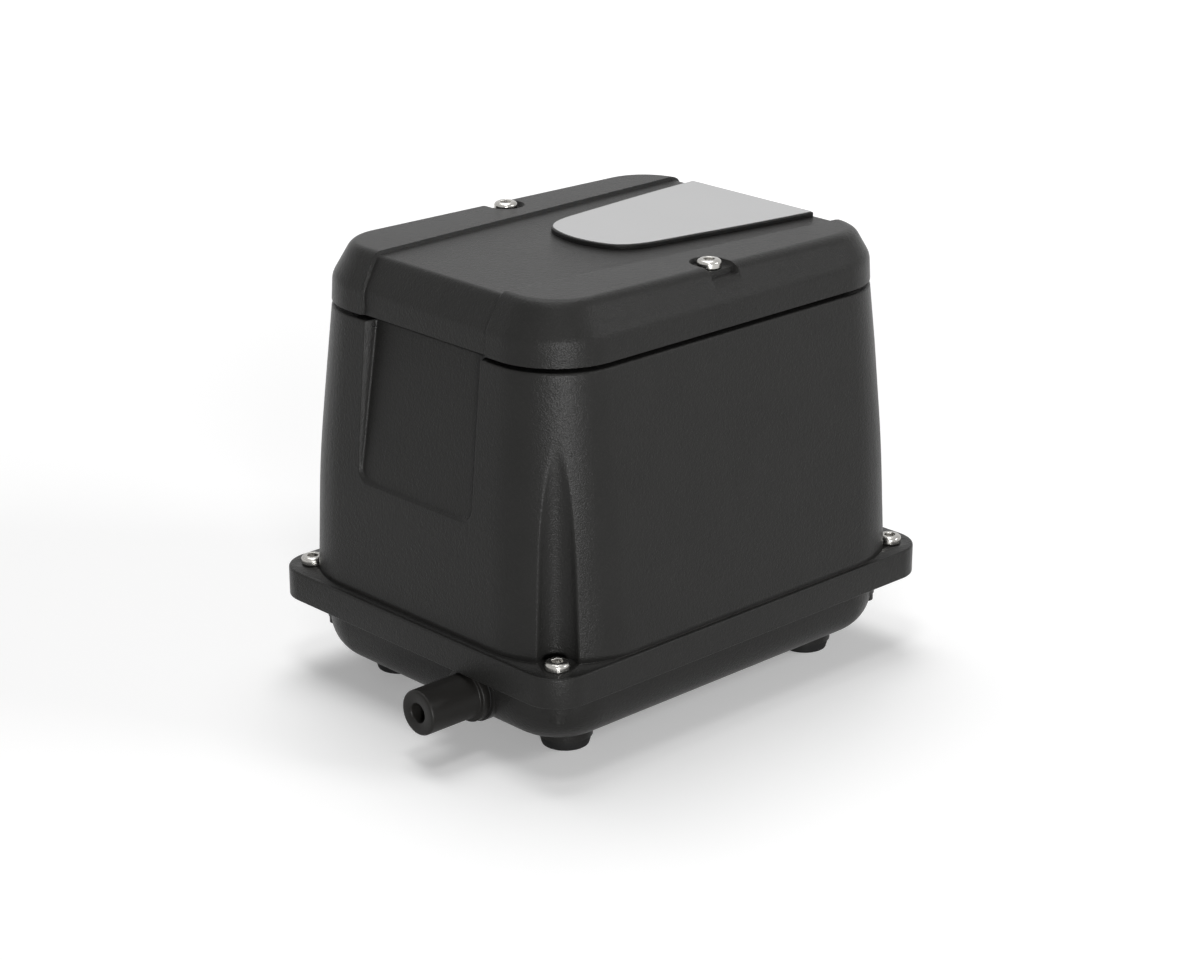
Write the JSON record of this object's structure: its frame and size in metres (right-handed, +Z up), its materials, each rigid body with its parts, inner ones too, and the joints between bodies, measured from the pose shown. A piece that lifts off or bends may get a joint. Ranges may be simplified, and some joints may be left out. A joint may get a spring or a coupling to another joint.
{
  "type": "linear diaphragm air pump",
  "caption": "Charcoal linear diaphragm air pump for ponds: tapered screwed casing with fluted corners, lift-off filter cover, blank silver label, side hose nozzle and rubber feet.",
  "frame": {"origin": "on the floor, at the centre of the four rubber feet", "axes": "+X along the drive rod, away from the air outlet; +Y across the pump; +Z up"},
  "size_m": [0.25, 0.1672, 0.182],
  "materials": {
    "casing_coat": "fine matt powder coat, charcoal",
    "label_silver": "smooth satin",
    "stainless": "bright",
    "rubber_black": "matt",
    "nozzle_black": "moulded, matt",
    "foam": "open-cell foam",
    "plated_plate": "zinc plated",
    "laminations": "varnished lamination stack",
    "winding": "enamelled copper winding",
    "bobbin_nylon": "moulded",
    "head_alloy": "die cast",
    "magnet": "sintered",
    "terminal_plastic": "moulded",
    "valve_rubber": "soft",
    "gland_nylon": "moulded",
    "brass_screw": "bright"
  },
  "bodies": {
    "casing": {"upper_casing": "casing_coat", "lower_casing": "casing_coat", "casing_screws": "stainless", "filter_element": "foam", "tank_gasket": "rubber_black", "tank_cover": "head_alloy", "rubber_feet": "rubber_black", "outlet_nozzle": "nozzle_black", "nozzle_seal": "rubber_black", "gland_body": "gland_nylon", "gland_nut": "gland_nylon", "gland_bush": "rubber_black", "gland_locknut": "gland_nylon", "isolation_mounts": "rubber_black", "mount_screws": "plated_plate", "drive_frame": "plated_plate", "core_front": "laminations", "core_back": "laminations", "bobbin_front": "bobbin_nylon", "bobbin_back": "bobbin_nylon", "coil_front": "winding", "coil_back": "winding", "core_screws": "plated_plate", "diaphragm_left": "valve_rubber", "diaphragm_right": "valve_rubber", "pump_head_left": "head_alloy", "pump_head_right": "head_alloy", "flap_retainers": "plated_plate", "head_cover_left": "head_alloy", "head_cover_right": "head_alloy", "head_screws": "plated_plate", "air_boot_left": "rubber_black", "air_boot_right": "rubber_black", "terminal_block": "terminal_plastic", "terminal_screws": "brass_screw", "terminal_fixings": "plated_plate"},
    "filter_lid": {"filter_cover": "casing_coat", "label_plate": "label_silver", "filter_cover_screws": "stainless"},
    "armature": {"armature_rod": "head_alloy", "armature_magnets": "magnet", "hub_plates": "head_alloy", "rod_nuts": "plated_plate"},
    "inlet_valve_left": {"inlet_flap_left": "valve_rubber"},
    "inlet_valve_right": {"inlet_flap_right": "valve_rubber"},
    "outlet_valve_left": {"outlet_flap_left": "valve_rubber"},
    "outlet_valve_right": {"outlet_flap_right": "valve_rubber"}
  },
  "joints": [
    {"name": "filter_cover_lift", "type": "slide", "parent": "casing", "child": "filter_lid", "axis": [0, 0, 1], "range_m": [0, 0.06]},
    {"name": "armature_stroke", "type": "slide", "parent": "casing", "child": "armature", "axis": [1, 0, 0], "range_m": [-0.003, 0.003], "stiffness_N_per_m": 5000, "deforming": ["diaphragm_left", "diaphragm_right"]},
    {"name": "inlet_flap_left_bend", "type": "hinge", "parent": "casing", "child": "inlet_valve_left", "pos_m": [-0.07, 0, 0.119], "axis": [0, -1, 0], "range_deg": [0, 10], "stiffness_Nm_per_rad": 0.0005},
    {"name": "inlet_flap_right_bend", "type": "hinge", "parent": "casing", "child": "inlet_valve_right", "pos_m": [0.07, 0, 0.119], "axis": [0, 1, 0], "range_deg": [0, 10], "stiffness_Nm_per_rad": 0.0005},
    {"name": "outlet_flap_left_bend", "type": "hinge", "parent": "casing", "child": "outlet_valve_left", "pos_m": [-0.073, 0, 0.071], "axis": [0, -1, 0], "range_deg": [0, 10], "stiffness_Nm_per_rad": 0.0005},
    {"name": "outlet_flap_right_bend", "type": "hinge", "parent": "casing", "child": "outlet_valve_right", "pos_m": [0.073, 0, 0.071], "axis": [0, 1, 0], "range_deg": [0, 10], "stiffness_Nm_per_rad": 0.0005}
  ]
}
